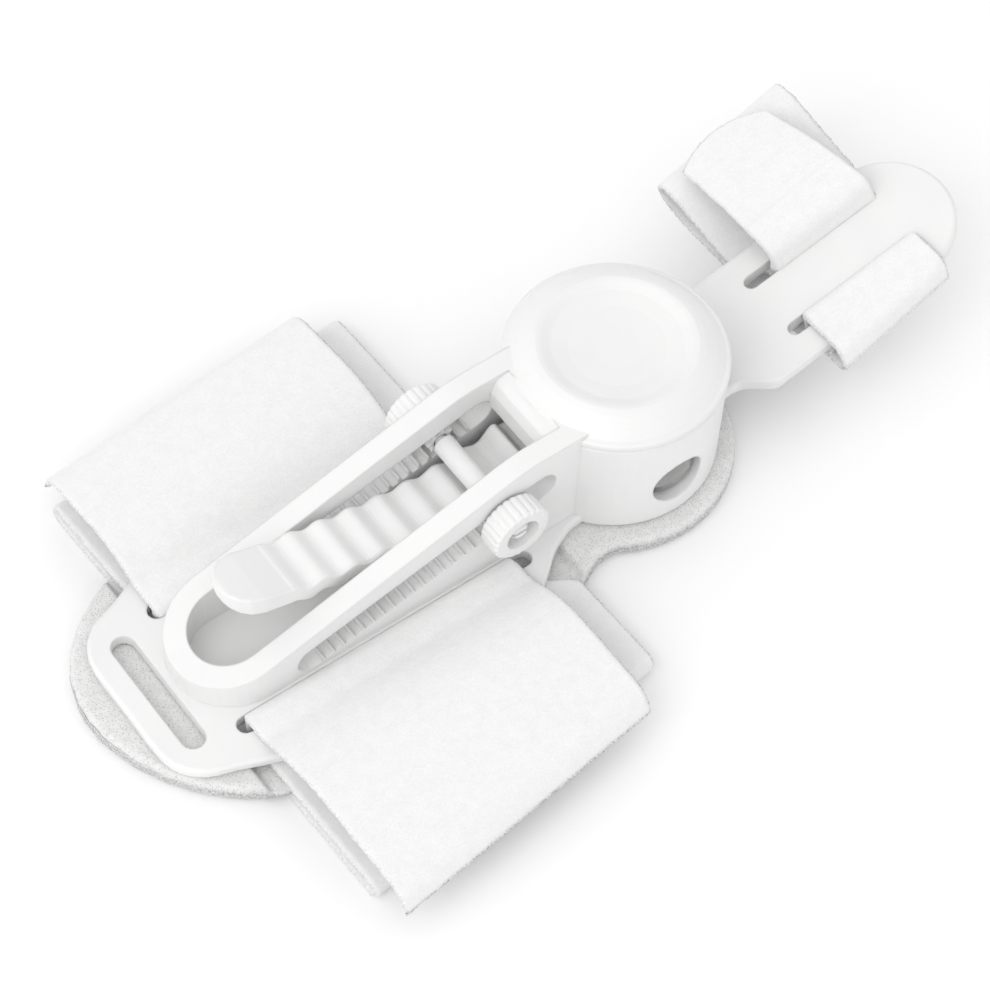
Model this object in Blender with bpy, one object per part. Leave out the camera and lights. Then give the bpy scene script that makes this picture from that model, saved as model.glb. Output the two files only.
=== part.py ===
"""Bunion corrector: a splint of white moulded plastic on a foam pad, with a wide foot strap and a toe strap.

Two thumbwheels roll a slider bar along the toothed slots of the frame. The bar presses the ribbed lever of
the toe arm down, and the toe plate at the arm's other end swings up about the metal hinge pin in the drum.

World frame: +X runs from the drum towards the toe, +Y to the left, +Z up. The Z axis is the drum's axis, and
z = 0 is the plane that the splint lies on. Lengths are in metres.
"""

from math import acos, atan2, ceil, cos, pi, radians, sin, tan

import bmesh
import bpy
from mathutils import Matrix, Vector

MM = 0.001

# Gaps and cloth
GAP = 0.3 * MM
STRAP_THICKNESS = 1.1 * MM
PRESSED_FOAM = 1.2 * MM

# Frame plate
PLATE_THICKNESS = 2.4 * MM
PLATE_REACH = 99.3 * MM
PLATE_HALF_WIDTH = 23.2 * MM
PLATE_CHAMFER = 0.6 * MM
FLOOR_THICKNESS = 1.5 * MM

# Channel between the two walls
CHANNEL_HALF_WIDTH = 7.1 * MM
WALL_THICKNESS = 4.0 * MM
CHANNEL_END = 78.7 * MM
RIM_HEIGHT = 24.8 * MM
RIM_END_HEIGHT = 7.0 * MM
RIM_FLAT_END = 27.0 * MM
RIM_BEND = 24.0 * MM

# Drum, its cap and the crossbar in front of it
DRUM_RADIUS = 19.3 * MM
CAP_RADIUS = 19.5 * MM
CAP_SEAT_HEIGHT = 22.6 * MM
CAP_LIP_HEIGHT = 24.2 * MM
CAP_CREST_RADIUS = 13.9 * MM
CAP_CREST_HEIGHT = 27.4 * MM
CAP_DISH_DEPTH = 1.5 * MM
CAP_ROUNDING = 0.35 * MM
CAP_STRAIGHT_EDGE = 18.4 * MM
CROSSBAR_FRONT = 21.0 * MM
CROSSBAR_UNDERSIDE = 17.5 * MM
CAVITY_HEIGHT = 17.0 * MM
DRUM_WALL = 3.0 * MM

# Hinge
HINGE_HEIGHT = 9.3 * MM
PIN_RADIUS = 1.6 * MM
PIN_RECESS_RADIUS = 5.1 * MM
PIN_RECESS_DEPTH = 3.9 * MM
PIN_HEAD_EDGE = 1.0 * MM
PIN_HEAD_RISE = 1.9 * MM
PIN_HEAD_ROUNDING = 0.3 * MM
BOSS_RADIUS = 4.9 * MM

# Toe plate, in the toe arm's own frame with the hinge at its origin
TOE_TILT = radians(13.5)
TOE_PLATE_TOP = -7.2 * MM
TOE_PLATE_THICKNESS = 2.6 * MM
TOE_HALF_WIDTH = 12.4 * MM
TOE_LENGTH = 73.6 * MM
NECK_HALF_WIDTH = 8.0 * MM
NECK_THICKENING = 1.2 * MM
NECK_TAPER_END = 38.0 * MM
NECK_START = 12.0 * MM
SHOULDER_START = 20.5 * MM
SHOULDER_LENGTH = 7.0 * MM
TOE_SLOT_START = 34.0 * MM
TOE_SLOT_LENGTH = 29.3 * MM
TOE_SLOT_INSET = 4.8 * MM
TOE_SLOT_WIDTH = 2.7 * MM

# Slider and its toothed slots
SLIDER_X = -31.0 * MM
SLIDER_HEIGHT = 15.1 * MM
SLOT_SLOPE = 0.235
SLIDE_BACK = 6.3 * MM
SLIDE_FORWARD = 22.5 * MM
SLOT_LEFT_RUN = 39.9 * MM
SLOT_RIGHT_RUN = 7.6 * MM
BAR_RADIUS = 2.0 * MM
BAR_CLEARANCE = 0.3 * MM
PINION_TEETH = 7
RACK_PITCH = 2.07 * MM
TOOTH_ADDENDUM = 0.42 * MM
TOOTH_DEDENDUM = 0.66 * MM
PINION_BORE = 1.35 * MM
AXLE_RADIUS = 1.05 * MM
WHEEL_RADIUS = 5.75 * MM
WHEEL_WIDTH = 4.6 * MM
WHEEL_RIBS = 24
WHEEL_RIB_HEIGHT = 0.35 * MM
HUB_RECESS_RADIUS = 3.2 * MM
HUB_RECESS_DEPTH = 2.6 * MM
SNAP_RADIUS = 1.85 * MM
SNAP_SPLIT = 0.7 * MM

# Lever of the toe arm
LEVER_HALF_WIDTH = 5.5 * MM
LEVER_THICKNESS = 4.0 * MM
LEVER_TIP = 80.5 * MM
LEVER_TAIL_SLOPE = 0.25
RIB_PITCH = 5.9 * MM
RIB_DEPTH = 1.2 * MM
ROOT_RIB_RUN = 3.3 * MM
ROOT_RIB_RISE = 1.6 * MM
ROOT_STEP_RUN = 1.5 * MM
ROOT_STEP_DROP = 1.4 * MM
TOE_SWING_PER_METRE = radians(368.0)

# Slots in the plate
SIDE_SLOT_INSET = 0.6 * MM
SIDE_SLOT_WIDTH = 3.3 * MM
SIDE_SLOT_START = 86.3 * MM
SIDE_SLOT_LENGTH = 59.5 * MM
END_SLOT_INSET = 90.9 * MM
END_SLOT_WIDTH = 4.3 * MM
END_SLOT_LENGTH = 25.2 * MM

# Foam pad
PAD_REACH = 104.4 * MM
PAD_HALF_WIDTH = 27.5 * MM
PAD_LOBE_RADIUS = 22.6 * MM
PAD_TIP_SHIFT = 3.6 * MM

# Foot strap
BAND_WIDTH = 63.0 * MM
BAND_START = 85.4 * MM
TOP_WIDTH = 54.5 * MM
TOP_START = 85.0 * MM
BAND_SKEW = radians(1.8)
LEFT_FOLD = 47.0 * MM
LEFT_FOLD_SLANT = radians(5.0)
LEFT_OVERHANG = 1.2 * MM
RIGHT_FOLD = 46.2 * MM
RIGHT_FOLD_SLANT = radians(7.5)
RIGHT_OVERHANG = 6.4 * MM
TOP_CREST = 8.2 * MM
TOP_CREST_REACH = 27.0 * MM
TOP_EDGE_DROP = 5.6 * MM
TOP_EDGE_RUN = 1.6 * MM
TOP_EDGE_BEND = 4.5 * MM
TOP_CREST_BEND = 26.0 * MM
TOP_FOOT_RUN = 2.2 * MM
TOP_FOOT_BEND = 5.0 * MM

# Toe strap, across the toe arm's own frame
TOE_BAND_WIDTH = 29.8 * MM
TOE_BAND_START = 36.1 * MM
TOE_TOP_WIDTH = 22.9 * MM
TOE_TOP_START = 40.1 * MM
TOE_TOP_TAPER = 4.2 * MM
TOE_RIGHT_WIDTH = 25.2 * MM
TOE_RIGHT_START = 37.3 * MM
TOE_RIGHT_REACH = 15.5 * MM
TOE_LOOP_REACH = 36.4 * MM
TOE_LOOP_RISE = 6.6 * MM
TOE_LOOP_DEPTH = 13.6 * MM
TOE_LOOP_BEND = 22.0 * MM
TOE_FOLD_SLANT = radians(5.0)
TOE_TOP_REACH = 30.0 * MM
TOE_TOP_HEIGHT = 5.4 * MM
TOE_TOP_BOW = 3.0 * MM

# Shares of the plate's reach and half width along its left half's edge, from the far end to the drum
PLATE_EDGE = (
    # (reach, half width)
    (1.000, 0.000), (1.000, 0.400), (0.987, 0.600), (0.953, 0.740), (0.905, 0.815), (0.857, 0.900),
    (0.802, 0.972), (0.720, 1.000), (0.420, 1.000), (0.335, 0.955), (0.278, 0.815), (0.230, 0.650),
    (0.190, 0.565), (0.150, 0.530), (0.000, 0.520),
)
# The same for the foam pad, up to its waist beside the drum
PAD_EDGE = (
    (1.000, 0.000), (0.998, 0.130), (0.982, 0.345), (0.952, 0.545), (0.915, 0.705), (0.872, 0.830),
    (0.825, 0.930), (0.765, 0.990), (0.600, 1.000), (0.330, 0.990), (0.270, 0.930), (0.205, 0.780),
    (0.160, 0.695), (0.125, 0.685),
)

PLATE_LEVEL = 2 * STRAP_THICKNESS + PRESSED_FOAM + 3 * GAP
PITCH_RADIUS = PINION_TEETH * RACK_PITCH / (2 * pi)
SLOT_HALF_HEIGHT = PITCH_RADIUS + TOOTH_DEDENDUM
SLOT_ANGLE = atan2(SLOT_SLOPE, 1.0)
WALL_OUTER = CHANNEL_HALF_WIDTH + WALL_THICKNESS
SIDE_SLOT_INNER = WALL_OUTER + SIDE_SLOT_INSET
SIDE_SLOT_OUTER = SIDE_SLOT_INNER + SIDE_SLOT_WIDTH
HINGE = Vector((0.0, 0.0, PLATE_LEVEL + HINGE_HEIGHT))
SLIDER = Vector((SLIDER_X, 0.0, PLATE_LEVEL + SLIDER_HEIGHT))
DOWN_SLOT = Vector((-cos(SLOT_ANGLE), 0.0, -sin(SLOT_ANGLE)))
CUTTER_REACH = 0.2


def clear_scene():
    for item in list(bpy.data.objects):
        bpy.data.objects.remove(item, do_unlink=True)


def plain_material(name, colour, roughness, metallic=0.0):
    material = bpy.data.materials.new(name)
    material.use_nodes = True
    shader = material.node_tree.nodes["Principled BSDF"]
    shader.inputs["Base Color"].default_value = (*colour, 1.0)
    shader.inputs["Roughness"].default_value = roughness
    shader.inputs["Metallic"].default_value = metallic
    return material


def add_object(name, mesh_data, material=None, origin=None):
    """Makes a bmesh in world coordinates into an object, with its origin moved to the given point."""
    bmesh.ops.recalc_face_normals(mesh_data, faces=mesh_data.faces)
    place = Matrix.Translation(origin) if origin is not None else Matrix.Identity(4)
    mesh_data.transform(place.inverted())
    mesh = bpy.data.meshes.new(name)
    mesh_data.to_mesh(mesh)
    mesh_data.free()
    item = bpy.data.objects.new(name, mesh)
    item.matrix_world = place
    bpy.context.scene.collection.objects.link(item)
    if material is not None:
        mesh.materials.append(material)
        mesh.shade_smooth()
        mesh.set_sharp_from_angle(angle=radians(30))
    return item


def combine(target, operation, mesh_data, name):
    """Adds, cuts or intersects a helper solid by a Boolean that stays live on the target."""
    helper = add_object(name, mesh_data)
    helper.display_type = "WIRE"
    helper.hide_render = True
    helper.hide_set(True)
    boolean = target.modifiers.new(name, "BOOLEAN")
    boolean.operation = operation
    boolean.solver = "EXACT"
    boolean.object = helper


def join(target, helper):
    """Adds a helper object, with modifiers of its own, to a solid."""
    helper.display_type = "WIRE"
    helper.hide_render = True
    modifier = target.modifiers.new(helper.name, "BOOLEAN")
    modifier.operation = "UNION"
    modifier.solver = "EXACT"
    modifier.object = helper


def loft(rings):
    """Closed solid through rings of equally many points, capped at both ends."""
    mesh_data = bmesh.new()
    rows = [[mesh_data.verts.new(point) for point in ring] for ring in rings]
    count = len(rows[0])
    for row, after in zip(rows, rows[1:]):
        for i in range(count):
            j = (i + 1) % count
            mesh_data.faces.new((row[i], row[j], after[j], after[i]))
    mesh_data.faces.new(rows[0])
    mesh_data.faces.new(list(reversed(rows[-1])))
    return mesh_data


def prism(outline, low, high):
    """Upright solid over a plan outline."""
    return loft([[(x, y, level) for x, y in outline] for level in (low, high)])


def offset_outline(outline, distance):
    """Moves each point of a counter-clockwise outline inwards along the mean normal of its two sides."""
    moved = []
    count = len(outline)
    for i, point in enumerate(outline):
        before = Vector(outline[i - 1])
        here = Vector(point)
        after = Vector(outline[(i + 1) % count])
        first = (here - before).normalized()
        second = (after - here).normalized()
        normal = Vector((-first.y - second.y, first.x + second.x)).normalized()
        spread = max(normal.dot(Vector((-first.y, first.x))), 0.5)
        moved.append(tuple(here + normal * (distance / spread)))
    return moved


def chamfered_prism(outline, low, high, chamfer):
    """Upright solid whose top and bottom edges are chamfered."""
    inner = offset_outline(outline, chamfer)
    levels = ((inner, low), (outline, low + chamfer), (outline, high - chamfer), (inner, high))
    return loft([[(x, y, level) for x, y in ring] for ring, level in levels])


def side_prism(profile, half_width):
    """Solid whose outline is given in the XZ plane, as wide as twice the half width."""
    return loft([[(x, y, z) for x, z in profile] for y in (half_width, -half_width)])


def arc_points(centre, radius, start, end, steps):
    return [
        (centre[0] + radius * cos(start + (end - start) * i / steps),
         centre[1] + radius * sin(start + (end - start) * i / steps))
        for i in range(steps + 1)
    ]


def cross_cylinder(x, z, radius, y_low, y_high, sides=32):
    """Cylinder whose axis runs along Y."""
    ring = circle(radius, sides)
    return loft([[(x + along, y, z + up) for along, up in ring] for y in (y_low, y_high)])


def long_slot(x_low, x_high, y_low, y_high, steps=8):
    """Plan outline of a slot with round ends, along its longer side."""
    if x_high - x_low > y_high - y_low:
        radius = (y_high - y_low) / 2
        middle = (y_low + y_high) / 2
        return (arc_points((x_high - radius, middle), radius, -pi / 2, pi / 2, steps)
                + arc_points((x_low + radius, middle), radius, pi / 2, 3 * pi / 2, steps))
    radius = (x_high - x_low) / 2
    middle = (x_low + x_high) / 2
    return (arc_points((middle, y_high - radius), radius, 0, pi, steps)
            + arc_points((middle, y_low + radius), radius, pi, 2 * pi, steps))


def mirrored_outline(half):
    """Counter-clockwise outline from a half that runs on the +Y side from -X to +X."""
    right = [(x, -y) for x, y in half if y > 0]
    return right + [(x, y) for x, y in reversed(half)]


def smooth_half(shares, reach, half_width, steps=3):
    """Points of a Catmull-Rom curve through a table of shares."""
    points = [Vector((-along * reach, across * half_width)) for along, across in shares]
    curve = []
    for i in range(len(points) - 1):
        before = points[i - 1] if i else Vector((points[1].x, -points[1].y))
        start, end = points[i], points[i + 1]
        after = points[i + 2] if i + 2 < len(points) else end + (end - start)
        for step in range(steps):
            t = step / steps
            curve.append(tuple(0.5 * (
                2 * start + (end - before) * t + (2 * before - 5 * start + 4 * end - after) * t ** 2
                + (3 * start - before - 3 * end + after) * t ** 3)))
    curve.append(tuple(points[-1]))
    return curve


def rounded_path(corners, step=radians(20)):
    """Polyline through (a, b, radius) corners, with each corner turned as an arc."""
    points = [Vector(corners[0][:2])]
    for i in range(1, len(corners) - 1):
        before = Vector(corners[i - 1][:2])
        here = Vector(corners[i][:2])
        after = Vector(corners[i + 1][:2])
        inward = (before - here).normalized()
        outward = (after - here).normalized()
        turn = pi - acos(max(-1.0, min(1.0, inward.dot(outward))))
        reach = corners[i][2] * tan(turn / 2)
        start = here + inward * reach
        centre = here + (inward + outward).normalized() * (corners[i][2] / cos(turn / 2))
        first = start - centre
        side = 1.0 if inward.cross(outward) < 0 else -1.0
        steps = max(1, ceil(turn / step))
        for k in range(steps + 1):
            angle = side * turn * k / steps
            points.append(centre + Matrix.Rotation(angle, 2) @ first)
    points.append(Vector(corners[-1][:2]))
    return points


def ribbon(path, thickness, place, columns):
    """Closed band of cloth along a path in YZ; place gives X and a shift in Y at a share of its width."""
    rings = []
    for i, point in enumerate(path):
        before = path[max(i - 1, 0)]
        after = path[min(i + 1, len(path) - 1)]
        ahead = (after - point).normalized() + (point - before).normalized()
        ahead.normalize()
        normal = Vector((-ahead.y, ahead.x)) * (thickness / 2)
        spots = [place(i, point, column / (columns - 1)) for column in range(columns)]
        ring = [(x, point.x + shift + normal.x, point.y + normal.y) for x, shift in spots]
        ring += [(x, point.x + shift - normal.x, point.y - normal.y) for x, shift in reversed(spots)]
        rings.append(ring)
    return loft(rings)


def rim_profile():
    """Side view of the wall's outer block: low at the far end, level beside the drum."""
    slope = (RIM_HEIGHT - RIM_END_HEIGHT) / (CHANNEL_END + WALL_OUTER - RIM_FLAT_END)
    far = -(CHANNEL_END + WALL_OUTER + 5 * MM)
    low = RIM_HEIGHT - slope * (-RIM_FLAT_END - far)
    corners = ((far, low), (-RIM_FLAT_END, RIM_HEIGHT, RIM_BEND), (-DRUM_WALL, RIM_HEIGHT))
    bend = rounded_path(corners, radians(4))
    profile = [(point.x, point.y) for point in bend]
    profile += [(-DRUM_WALL, 0.2 * PLATE_THICKNESS), (far, 0.2 * PLATE_THICKNESS)]
    return [(x, PLATE_LEVEL + z) for x, z in profile]


def stadium(half_width, x_end, x_high, steps=20):
    """Plan outline with a half-round end at -X and a square end at x_high."""
    end = arc_points((-x_end, 0.0), half_width, pi / 2, 3 * pi / 2, steps)
    return end + [(x_high, -half_width), (x_high, half_width)]


def circle(radius, sides=60):
    return [(radius * cos(2 * pi * i / sides), radius * sin(2 * pi * i / sides)) for i in range(sides)]


def cap_outline(radius, straight, sides=48):
    """Circle whose -X side is cut off straight."""
    half_angle = acos(straight / radius)
    return arc_points((0.0, 0.0), radius, half_angle - pi, pi - half_angle, sides)


def toothed_slot():
    """Outline of the slider's slot in the XZ plane: plain upper side, rack teeth along the lower side."""
    half = SLOT_HALF_HEIGHT
    right, left = SLOT_RIGHT_RUN, -SLOT_LEFT_RUN
    outline = arc_points((right, 0.0), half, -pi / 2, pi / 2, 8)
    outline += arc_points((left, 0.0), half, pi / 2, 3 * pi / 2, 8)
    tooth = 0.5 * RACK_PITCH
    first = ceil(left / RACK_PITCH)
    last = int(right / RACK_PITCH)
    for i in range(first, last):
        middle = (i + 0.5) * RACK_PITCH
        tip = -PITCH_RADIUS + TOOTH_ADDENDUM
        outline += [(middle - 0.32 * tooth, -half), (middle - 0.16 * tooth, tip),
                    (middle + 0.16 * tooth, tip), (middle + 0.32 * tooth, -half)]
    turned = []
    for along, across in outline:
        turned.append((SLIDER.x + along * cos(SLOT_ANGLE) - across * sin(SLOT_ANGLE),
                       SLIDER.z + along * sin(SLOT_ANGLE) + across * cos(SLOT_ANGLE)))
    return turned


def build_frame(plastic):
    top = PLATE_LEVEL + PLATE_THICKNESS
    outline = mirrored_outline(smooth_half(PLATE_EDGE, PLATE_REACH, PLATE_HALF_WIDTH))
    frame = add_object("base_frame", chamfered_prism(outline, PLATE_LEVEL, top, PLATE_CHAMFER), plastic)
    seat = PLATE_LEVEL + CAP_SEAT_HEIGHT
    drum = circle(DRUM_RADIUS)
    combine(frame, "UNION", chamfered_prism(drum, PLATE_LEVEL, seat, PLATE_CHAMFER), "drum")

    walls = add_object("wall_block", side_prism(rim_profile(), 2 * WALL_OUTER))
    plan = stadium(WALL_OUTER, CHANNEL_END, 0.0)
    combine(walls, "INTERSECT", prism(plan, 0.0, 2 * RIM_HEIGHT), "wall_plan")
    join(frame, walls)

    upper = PLATE_LEVEL + RIM_HEIGHT + 5 * MM
    channel = stadium(CHANNEL_HALF_WIDTH, CHANNEL_END, -CROSSBAR_FRONT)
    combine(frame, "DIFFERENCE", prism(channel, PLATE_LEVEL + FLOOR_THICKNESS, upper), "channel")
    chamfer_step = CROSSBAR_FRONT - CAP_STRAIGHT_EDGE
    bevel = [
        (-CROSSBAR_FRONT - MM, upper), (-CROSSBAR_FRONT - MM, PLATE_LEVEL + CROSSBAR_UNDERSIDE + 3.4 * MM),
        (-CROSSBAR_FRONT, PLATE_LEVEL + CROSSBAR_UNDERSIDE + 3.8 * MM),
        (-CROSSBAR_FRONT + 0.3 * chamfer_step, PLATE_LEVEL + CAP_LIP_HEIGHT - 0.9 * MM),
        (-CAP_STRAIGHT_EDGE - 0.3 * chamfer_step, PLATE_LEVEL + CAP_LIP_HEIGHT),
        (-CAP_STRAIGHT_EDGE + MM, PLATE_LEVEL + CAP_LIP_HEIGHT + 0.3 * MM), (-CAP_STRAIGHT_EDGE + MM, upper),
    ]
    combine(frame, "DIFFERENCE", side_prism(bevel, CHANNEL_HALF_WIDTH), "crossbar_slope")
    cap = add_object("drum_cap", dished_top())
    straight = cap_outline(2 * CAP_RADIUS, CAP_STRAIGHT_EDGE)
    combine(cap, "INTERSECT", prism(straight, 0.0, 2 * RIM_HEIGHT), "cap_plan")
    join(frame, cap)
    passage_floor = PLATE_LEVEL + FLOOR_THICKNESS
    cavity = [
        (-CROSSBAR_FRONT - MM, passage_floor), (DRUM_RADIUS - DRUM_WALL, passage_floor),
        (DRUM_RADIUS - DRUM_WALL, PLATE_LEVEL + CAVITY_HEIGHT),
        (-CROSSBAR_FRONT + 2 * MM, PLATE_LEVEL + CAVITY_HEIGHT),
        (-CROSSBAR_FRONT, PLATE_LEVEL + CROSSBAR_UNDERSIDE),
        (-CROSSBAR_FRONT - MM, PLATE_LEVEL + CROSSBAR_UNDERSIDE),
    ]
    combine(frame, "DIFFERENCE", side_prism(cavity, CHANNEL_HALF_WIDTH), "cavity")
    window_half = NECK_HALF_WIDTH + 2 * GAP
    window = [(NECK_START - 2 * MM, -window_half), (2 * DRUM_RADIUS, -window_half),
              (2 * DRUM_RADIUS, window_half), (NECK_START - 2 * MM, window_half)]
    window_top = HINGE.z + NECK_START * 0.28
    combine(frame, "DIFFERENCE", prism(window, passage_floor, window_top), "toe_window")

    slot = toothed_slot()
    for side, label in ((1, "left"), (-1, "right")):
        low = min(side * (CHANNEL_HALF_WIDTH - GAP), side * (WALL_OUTER + GAP))
        high = max(side * (CHANNEL_HALF_WIDTH - GAP), side * (WALL_OUTER + GAP))
        cutter = loft([[(x, y, z) for x, z in slot] for y in (low, high)])
        combine(frame, "DIFFERENCE", cutter, f"toothed_slot_{label}")
        inner = side * SIDE_SLOT_INNER
        outer = side * SIDE_SLOT_OUTER
        slot_end = -SIDE_SLOT_START + SIDE_SLOT_LENGTH
        hole = long_slot(-SIDE_SLOT_START, slot_end, min(inner, outer), max(inner, outer))
        combine(frame, "DIFFERENCE", prism(hole, 0.0, top + MM), f"side_slot_{label}")
        face = side * DRUM_RADIUS
        recess = side * (DRUM_RADIUS - PIN_RECESS_DEPTH)
        low, high = sorted((recess, 2 * face))
        hollow = cross_cylinder(HINGE.x, HINGE.z, PIN_RECESS_RADIUS, low, high)
        combine(frame, "DIFFERENCE", hollow, f"pin_recess_{label}")
    bore = cross_cylinder(HINGE.x, HINGE.z, PIN_RADIUS + GAP, -DRUM_RADIUS, DRUM_RADIUS, 24)
    combine(frame, "DIFFERENCE", bore, "pin_bore")
    half_length = END_SLOT_LENGTH / 2
    end_slot = long_slot(-END_SLOT_INSET - END_SLOT_WIDTH, -END_SLOT_INSET, -half_length, half_length)
    combine(frame, "DIFFERENCE", prism(end_slot, 0.0, top + MM), "end_slot")
    return frame


def dished_top():
    """Dished top of the drum, which overhangs the drum's side a little all round."""
    seat = PLATE_LEVEL + CAP_SEAT_HEIGHT
    lip = PLATE_LEVEL + CAP_LIP_HEIGHT
    crest = PLATE_LEVEL + CAP_CREST_HEIGHT
    fall = CAP_RADIUS - CAP_CREST_RADIUS
    rise = crest - lip
    profile = [
        (DRUM_RADIUS - 2 * CAP_ROUNDING, seat - CAP_ROUNDING), (CAP_RADIUS - CAP_ROUNDING, seat),
        (CAP_RADIUS, seat + CAP_ROUNDING), (CAP_RADIUS, lip - CAP_ROUNDING),
        (CAP_RADIUS - CAP_ROUNDING, lip), (CAP_RADIUS - 2.6 * CAP_ROUNDING, lip + 0.3 * CAP_ROUNDING),
        (CAP_CREST_RADIUS + 0.55 * fall, lip + 0.50 * rise),
        (CAP_CREST_RADIUS + 0.22 * fall, lip + 0.86 * rise),
        (CAP_CREST_RADIUS, crest), (CAP_CREST_RADIUS - 0.8 * MM, crest - 0.12 * MM),
        (0.82 * CAP_CREST_RADIUS, crest - 0.52 * CAP_DISH_DEPTH),
        (0.60 * CAP_CREST_RADIUS, crest - 0.86 * CAP_DISH_DEPTH),
        (0.30 * CAP_CREST_RADIUS, crest - CAP_DISH_DEPTH),
    ]
    rings = []
    for radius, z in profile:
        rings.append([(x, y, z) for x, y in circle(radius)])
    return loft(rings)


def slider_point(travel):
    """Centre of the slider bar after a travel down the slot, as (x, z) from the hinge."""
    place = SLIDER + DOWN_SLOT * travel - HINGE
    return Vector((place.x, place.z))


def in_arm_at_rest(point, travel):
    """Where a point fixed in the world lies on the arm, once the travel has swung the arm."""
    swing = TOE_SWING_PER_METRE * travel
    along = point.x * cos(swing) + point.y * sin(swing)
    across = -point.x * sin(swing) + point.y * cos(swing)
    return Vector((along, across))


def rib_dip(x):
    """Depth below the line through the crests at a place along the lever, with a valley under the bar."""
    return 0.5 * RIB_DEPTH * (1 - cos(2 * pi * (x - SLIDER_X + 0.5 * RIB_PITCH) / RIB_PITCH))


def lever_top():
    """Upper side of the lever, from the hinge: ribs just under the bar's path on the arm."""
    steps = 42
    clear = BAR_RADIUS + BAR_CLEARANCE
    top = []
    for i in range(steps + 1):
        travel = -SLIDE_BACK + (SLIDE_FORWARD + SLIDE_BACK) * i / steps
        step = 0.1 * MM
        here = in_arm_at_rest(slider_point(travel), travel)
        ahead = in_arm_at_rest(slider_point(travel + step), travel + step)
        along = (ahead - here).normalized()
        crest = here - Vector((along.y, -along.x)) * -clear
        if crest.y > here.y:
            crest = here + Vector((along.y, -along.x)) * -clear
        top.append(Vector((crest.x, crest.y - rib_dip(crest.x))))
    return top


def lever_profile():
    """Rows of (x, top, underside, half width) along the lever, from the hinge."""
    top = lever_top()
    clear_line = top[-1].y + rib_dip(top[-1].x)
    x = top[-1].x
    tail_start = x
    ribs_end = -LEVER_TIP + 10.0 * MM
    step = RIB_PITCH / 9
    while x - step > ribs_end:
        x -= step
        top.append(Vector((x, clear_line + LEVER_TAIL_SLOPE * (tail_start - x) - rib_dip(x))))
    rows = []
    for point in top:
        crest = point.y
        rows.append((point.x, crest, crest - LEVER_THICKNESS, LEVER_HALF_WIDTH))
    last = rows[-1]
    nose = LEVER_TIP + last[0]
    round_start = nose - LEVER_HALF_WIDTH
    for share in (0.3, 0.7, 1.0):
        x = last[0] - share * round_start
        crest = last[1] + 0.42 * share * round_start
        rows.append((x, crest, crest - LEVER_THICKNESS * (1 + 0.12 * share), LEVER_HALF_WIDTH))
    edge = rows[-1]
    for angle in (25, 45, 62, 76, 86):
        reach = LEVER_HALF_WIDTH * sin(radians(angle))
        half = max(LEVER_HALF_WIDTH * cos(radians(angle)), 0.6 * MM)
        lift = 0.30 * reach - 0.09 * LEVER_HALF_WIDTH * (angle / 86) ** 6
        thickness = (edge[1] - edge[2]) * (1 - 0.38 * (angle / 86) ** 4)
        rows.append((edge[0] - reach, edge[1] + lift, edge[1] + lift - thickness, half))
    return rows


def build_lever():
    """Ribbed lever, from its root at the hinge boss to its round tail."""
    rows = lever_profile()
    root_x, valley = rows[0][0], rows[0][1]
    crest_x = root_x + ROOT_RIB_RUN
    crest = valley + RIB_DEPTH + ROOT_RIB_RISE
    flat = crest - ROOT_STEP_DROP
    root = [(-0.25 * BOSS_RADIUS, 0.75 * BOSS_RADIUS)]
    root.append((crest_x + 3 * ROOT_STEP_RUN, flat + 0.1 * ROOT_STEP_DROP))
    for share in (1.0, 0.75, 0.5, 0.25):
        root.append((crest_x + ROOT_STEP_RUN * share, crest - ROOT_STEP_DROP * 0.5 * (1 - cos(pi * share))))
    for share in (1.0, 0.83, 0.66, 0.5, 0.34, 0.17):
        root.append((root_x + ROOT_RIB_RUN * share, valley + (crest - valley) * 0.5 * (1 - cos(pi * share))))
    thick = [(x, high, high - LEVER_THICKNESS, LEVER_HALF_WIDTH) for x, high in root]
    thick[0] = (root[0][0], root[0][1], -0.6 * BOSS_RADIUS, LEVER_HALF_WIDTH)
    edge = 0.5 * MM
    rings = []
    for x, high, low, half in thick + rows:
        inner = half - edge
        ring = [(half, low + edge), (half, high - edge), (inner, high), (-inner, high),
                (-half, high - edge), (-half, low + edge), (-inner, low), (inner, low)]
        rings.append([(x + HINGE.x, y, z + HINGE.z) for y, z in ring])
    return loft(rings)


def neck_half_width(along):
    """Half width of the toe plate at a place along it, through its S-shaped shoulders."""
    share = max(0.0, min(1.0, (along - SHOULDER_START) / SHOULDER_LENGTH))
    return NECK_HALF_WIDTH + (TOE_HALF_WIDTH - NECK_HALF_WIDTH) * share * share * (3 - 2 * share)


def build_neck():
    """Thickening under the shoulders, in the arm's own frame, that fades out towards the toe slots."""
    low = TOE_PLATE_TOP - TOE_PLATE_THICKNESS
    inside = low + 0.5 * TOE_PLATE_THICKNESS
    start = SHOULDER_START - 2.2 * MM
    full = SHOULDER_START + 0.2 * MM
    fade = SHOULDER_START + 0.9 * SHOULDER_LENGTH
    rings = []
    for along in [start] + [full + (fade - full) * i / 6 for i in range(7)] + [NECK_TAPER_END]:
        deep = low - (0.0 if along in (start, NECK_TAPER_END) else NECK_THICKENING)
        half = neck_half_width(along) - 0.35 * MM
        slim = half - 0.35 * MM
        rings.append([(along, half, inside), (along, half, deep + 0.35 * MM), (along, slim, deep),
                      (along, -slim, deep), (along, -half, deep + 0.35 * MM), (along, -half, inside)])
    return loft(rings)


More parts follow.
